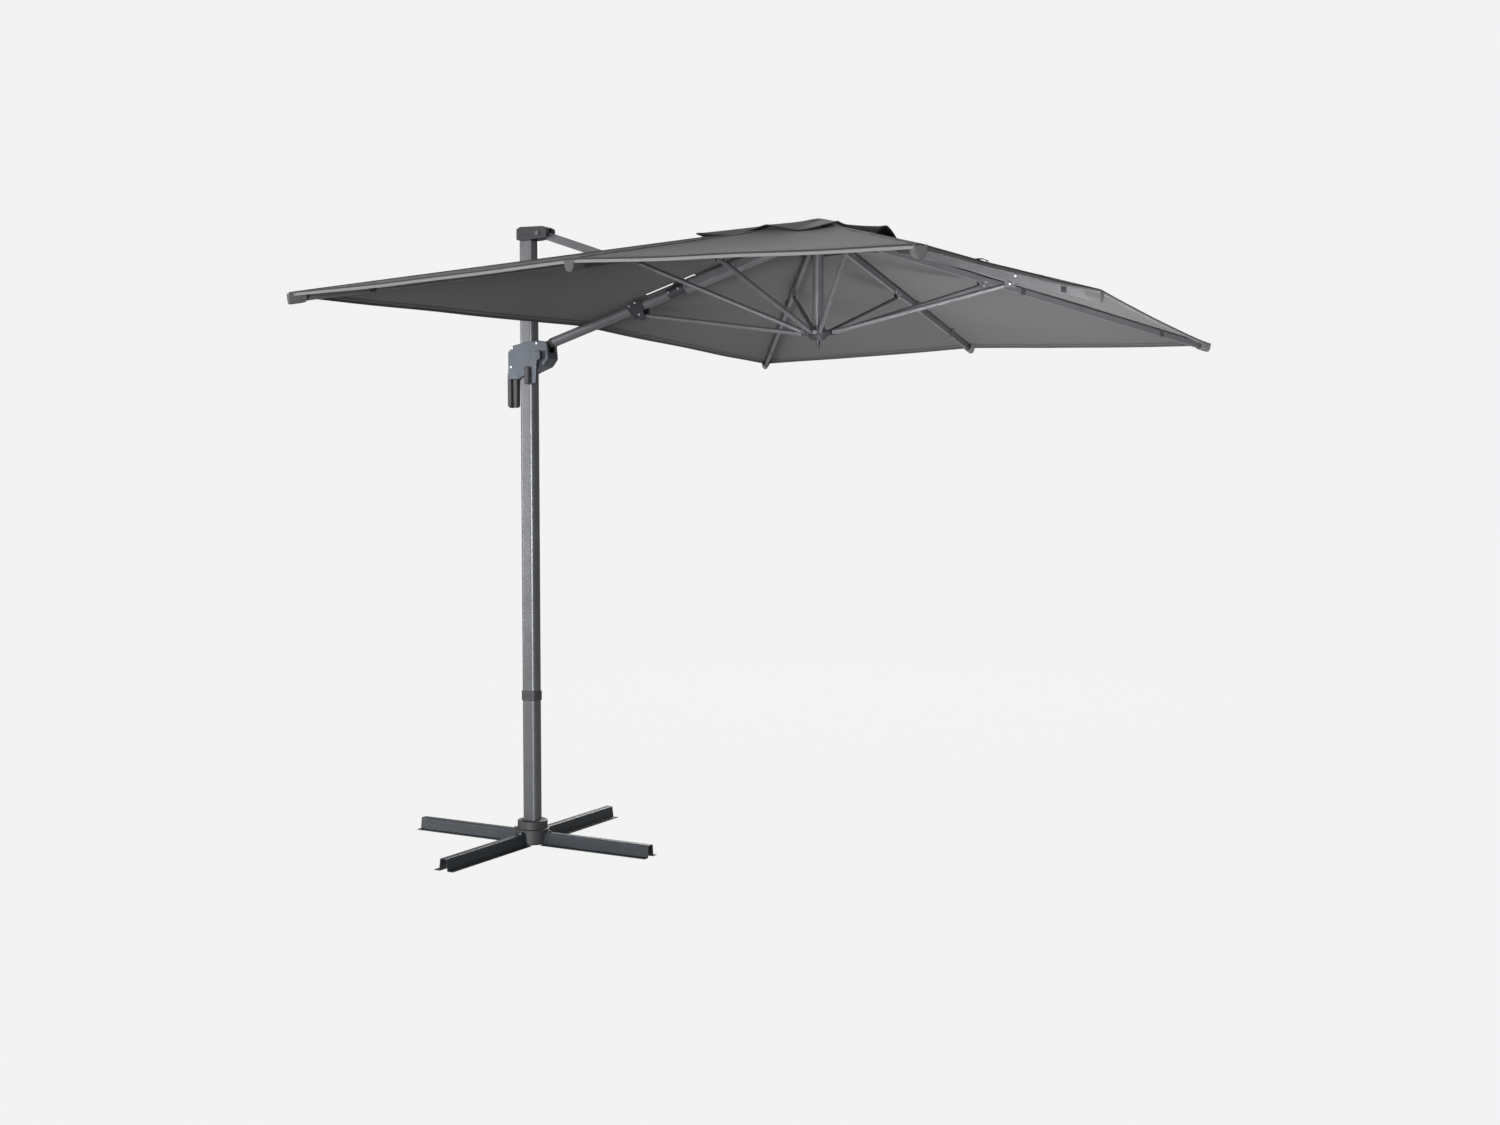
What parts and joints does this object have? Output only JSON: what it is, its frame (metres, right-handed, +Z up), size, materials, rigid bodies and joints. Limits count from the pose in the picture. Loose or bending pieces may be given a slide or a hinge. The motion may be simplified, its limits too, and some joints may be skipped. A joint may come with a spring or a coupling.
{
  "type": "cantilever parasol",
  "caption": "Side-mast garden parasol with a rectangular fabric canopy on a folding arm, a sliding crank carriage, a turning mast and a cross base.",
  "frame": {"origin": "on the mast's axis at floor level", "axes": "+Z up, +X along the boom towards the canopy, +Y along the canopy's long side"},
  "size_m": [2.7781, 3.0124, 2.3719],
  "materials": {
    "powder_coated_aluminium": "satin",
    "base_steel": "satin",
    "moulded_plastic": "matte",
    "carriage_plastic": "satin",
    "bearing_plastic": "matte",
    "rivet_steel": "satin",
    "canopy_fabric": "matte"
  },
  "bodies": {
    "base": {"base_arms": "base_steel", "foot_spigot": "base_steel", "foot_cover": "moulded_plastic", "base_bolts": "rivet_steel"},
    "mast": {"swivel_collar": "moulded_plastic", "mast_lower": "powder_coated_aluminium", "mast_upper": "powder_coated_aluminium", "mast_joint_sleeve": "powder_coated_aluminium", "swivel_bushes": "bearing_plastic", "mast_joint_ring": "moulded_plastic", "mast_head": "moulded_plastic", "mast_head_pin": "rivet_steel"},
    "upper_link": {"upper_link": "powder_coated_aluminium"},
    "boom": {"boom_tube": "powder_coated_aluminium", "boom_beam": "powder_coated_aluminium", "boom_root_eye": "moulded_plastic", "boom_joint_core": "moulded_plastic", "boom_tip_eye": "moulded_plastic", "boom_saddle": "powder_coated_aluminium", "boom_clamp": "powder_coated_aluminium", "boom_fasteners": "rivet_steel", "canopy_inner": "canopy_fabric"},
    "carriage": {"carriage_shell_left": "carriage_plastic", "carriage_shell_right": "carriage_plastic", "carriage_slider": "bearing_plastic", "handle_grip": "carriage_plastic", "carriage_fasteners": "rivet_steel"},
    "crank": {"crank_shaft": "rivet_steel", "cord_drum": "bearing_plastic", "crank_arm": "carriage_plastic", "crank_grip": "bearing_plastic"},
    "release_lever": {"release_lever": "carriage_plastic"},
    "canopy_hub": {"top_hub": "moulded_plastic", "hub_hinge_pins": "rivet_steel", "hub_post": "powder_coated_aluminium", "vent_cap": "canopy_fabric"},
    "runner": {"runner": "moulded_plastic", "runner_dish": "moulded_plastic"},
    "strut_inner": {"strut_inner": "powder_coated_aluminium"},
    "rib_outer": {"rib_outer": "powder_coated_aluminium", "canopy_outer": "canopy_fabric"},
    "strut_outer": {"strut_outer": "powder_coated_aluminium"},
    "rib_outer_right": {"rib_outer_right": "powder_coated_aluminium", "canopy_outer_right": "canopy_fabric"},
    "strut_outer_right": {"strut_outer_right": "powder_coated_aluminium"},
    "rib_right": {"rib_right": "powder_coated_aluminium", "canopy_right": "canopy_fabric"},
    "strut_right": {"strut_right": "powder_coated_aluminium"},
    "rib_inner_right": {"rib_inner_right": "powder_coated_aluminium", "canopy_inner_right": "canopy_fabric"},
    "strut_inner_right": {"strut_inner_right": "powder_coated_aluminium"},
    "rib_inner_left": {"rib_inner_left": "powder_coated_aluminium", "canopy_inner_left": "canopy_fabric"},
    "strut_inner_left": {"strut_inner_left": "powder_coated_aluminium"},
    "rib_left": {"rib_left": "powder_coated_aluminium", "canopy_left": "canopy_fabric"},
    "strut_left": {"strut_left": "powder_coated_aluminium"},
    "rib_outer_left": {"rib_outer_left": "powder_coated_aluminium", "canopy_outer_left": "canopy_fabric"},
    "strut_outer_left": {"strut_outer_left": "powder_coated_aluminium"}
  },
  "joints": [
    {"name": "mast_swivel", "type": "hinge", "parent": "base", "child": "mast", "pos_m": [0, 0, 0.09], "axis": [0, 0, 1], "continuous": true},
    {"name": "arm_fold", "type": "hinge", "parent": "mast", "child": "upper_link", "pos_m": [0.06, 0, 2.343], "axis": [0, 1, 0], "range_deg": [0, 55]},
    {"name": "arm_boom", "type": "hinge", "parent": "upper_link", "child": "boom", "pos_m": [0.676, 0, 2.129], "axis": [0, 1, 0], "range_deg": [-111, 0]},
    {"name": "arm_carriage", "type": "hinge", "parent": "boom", "child": "carriage", "pos_m": [0.06, 0, 1.915], "axis": [0, 1, 0], "range_deg": [0, 56]},
    {"name": "crank_turn", "type": "hinge", "parent": "carriage", "child": "crank", "pos_m": [0.07, 0, 1.882], "axis": [0, 1, 0], "continuous": true},
    {"name": "lever_squeeze", "type": "hinge", "parent": "carriage", "child": "release_lever", "pos_m": [-0.06, 0, 1.819], "axis": [0, 1, 0], "range_deg": [0, 4]},
    {"name": "canopy_close", "type": "hinge", "parent": "boom", "child": "canopy_hub", "pos_m": [1.19, 0, 2.253], "axis": [0, 1, 0], "range_deg": [0, 51.5], "deforming": ["vent_cap", "canopy_inner"]},
    {"name": "boom_strut", "type": "hinge", "parent": "boom", "child": "strut_inner", "pos_m": [0.512, 0, 2.014], "axis": [0, 1, 0], "range_deg": [0, 114.61]},
    {"name": "rib_outer_fold", "type": "hinge", "parent": "canopy_hub", "child": "rib_outer", "pos_m": [1.28, 0, 2.262], "axis": [0, 1, 0], "range_deg": [0, 62], "deforming": ["canopy_outer"]},
    {"name": "strut_outer_fold", "type": "hinge", "parent": "rib_outer", "child": "strut_outer", "pos_m": [1.93, 0, 2.044], "axis": [0, 1, 0], "range_deg": [-129.96, 0]},
    {"name": "rib_outer_right_fold", "type": "hinge", "parent": "canopy_hub", "child": "rib_outer_right", "pos_m": [1.25774, 0.0416, 2.262], "axis": [-0.8321, 0.5547, 0], "range_deg": [0, 68.23], "deforming": ["canopy_outer_right"]},
    {"name": "strut_outer_right_fold", "type": "hinge", "parent": "rib_outer_right", "child": "strut_outer_right", "pos_m": [1.61829, 0.58244, 2.12], "axis": [-0.8321, 0.5547, 0], "range_deg": [-130.53, 0]},
    {"name": "rib_right_fold", "type": "hinge", "parent": "canopy_hub", "child": "rib_right", "pos_m": [1.23, 0.05, 2.262], "axis": [-1, 0, 0], "range_deg": [0, 67.47], "deforming": ["canopy_right"]},
    {"name": "strut_right_fold", "type": "hinge", "parent": "rib_right", "child": "strut_right", "pos_m": [1.23, 0.7, 2.108], "axis": [-1, 0, 0], "range_deg": [-130.89, 0]},
    {"name": "rib_inner_right_fold", "type": "hinge", "parent": "canopy_hub", "child": "rib_inner_right", "pos_m": [1.20226, 0.0416, 2.262], "axis": [-0.8321, -0.5547, 0], "range_deg": [0, 68.23], "deforming": ["canopy_inner_right"]},
    {"name": "strut_inner_right_fold", "type": "hinge", "parent": "rib_inner_right", "child": "strut_inner_right", "pos_m": [0.84171, 0.58244, 2.12], "axis": [-0.8321, -0.5547, 0], "range_deg": [-130.53, 0]},
    {"name": "rib_inner_left_fold", "type": "hinge", "parent": "canopy_hub", "child": "rib_inner_left", "pos_m": [1.20226, -0.0416, 2.262], "axis": [0.8321, -0.5547, 0], "range_deg": [0, 68.23], "deforming": ["canopy_inner_left"]},
    {"name": "strut_inner_left_fold", "type": "hinge", "parent": "rib_inner_left", "child": "strut_inner_left", "pos_m": [0.84171, -0.58244, 2.12], "axis": [0.8321, -0.5547, 0], "range_deg": [-130.53, 0]},
    {"name": "rib_left_fold", "type": "hinge", "parent": "canopy_hub", "child": "rib_left", "pos_m": [1.23, -0.05, 2.262], "axis": [1, 0, 0], "range_deg": [0, 66.06], "deforming": ["canopy_left"]},
    {"name": "strut_left_fold", "type": "hinge", "parent": "rib_left", "child": "strut_left", "pos_m": [1.23, -0.7, 2.0885], "axis": [1, 0, 0], "range_deg": [-131.12, 0]},
    {"name": "rib_outer_left_fold", "type": "hinge", "parent": "canopy_hub", "child": "rib_outer_left", "pos_m": [1.25774, -0.0416, 2.262], "axis": [0.8321, 0.5547, 0], "range_deg": [0, 68.23], "deforming": ["canopy_outer_left"]},
    {"name": "strut_outer_left_fold", "type": "hinge", "parent": "rib_outer_left", "child": "strut_outer_left", "pos_m": [1.61829, -0.58244, 2.12], "axis": [0.8321, 0.5547, 0], "range_deg": [-130.53, 0]},
    {"name": "runner_hinge", "type": "hinge", "parent": "strut_left", "child": "runner", "pos_m": [1.23, -0.05, 1.915], "axis": [1, 0, 0], "range_deg": [0, 66.06]}
  ],
  "couplings": [
    {"joint": "arm_boom", "follows": "arm_fold", "ratio": -2},
    {"joint": "arm_carriage", "follows": "arm_fold", "ratio": 1},
    {"joint": "boom_strut", "follows": "canopy_close", "ratio": 2.2059},
    {"joint": "rib_outer_fold", "follows": "canopy_close", "ratio": 1.1845},
    {"joint": "strut_outer_fold", "follows": "canopy_close", "ratio": -2.504},
    {"joint": "rib_outer_right_fold", "follows": "canopy_close", "ratio": 1.3054},
    {"joint": "strut_outer_right_fold", "follows": "canopy_close", "ratio": -2.5151},
    {"joint": "rib_right_fold", "follows": "canopy_close", "ratio": 1.2907},
    {"joint": "strut_right_fold", "follows": "canopy_close", "ratio": -2.5221},
    {"joint": "rib_inner_right_fold", "follows": "canopy_close", "ratio": 1.3054},
    {"joint": "strut_inner_right_fold", "follows": "canopy_close", "ratio": -2.5151},
    {"joint": "rib_inner_left_fold", "follows": "canopy_close", "ratio": 1.3054},
    {"joint": "strut_inner_left_fold", "follows": "canopy_close", "ratio": -2.5151},
    {"joint": "rib_left_fold", "follows": "canopy_close", "ratio": 1.2633},
    {"joint": "strut_left_fold", "follows": "canopy_close", "ratio": -2.5266},
    {"joint": "rib_outer_left_fold", "follows": "canopy_close", "ratio": 1.3054},
    {"joint": "strut_outer_left_fold", "follows": "canopy_close", "ratio": -2.5151},
    {"joint": "runner_hinge", "follows": "canopy_close", "ratio": 1.2633}
  ]
}
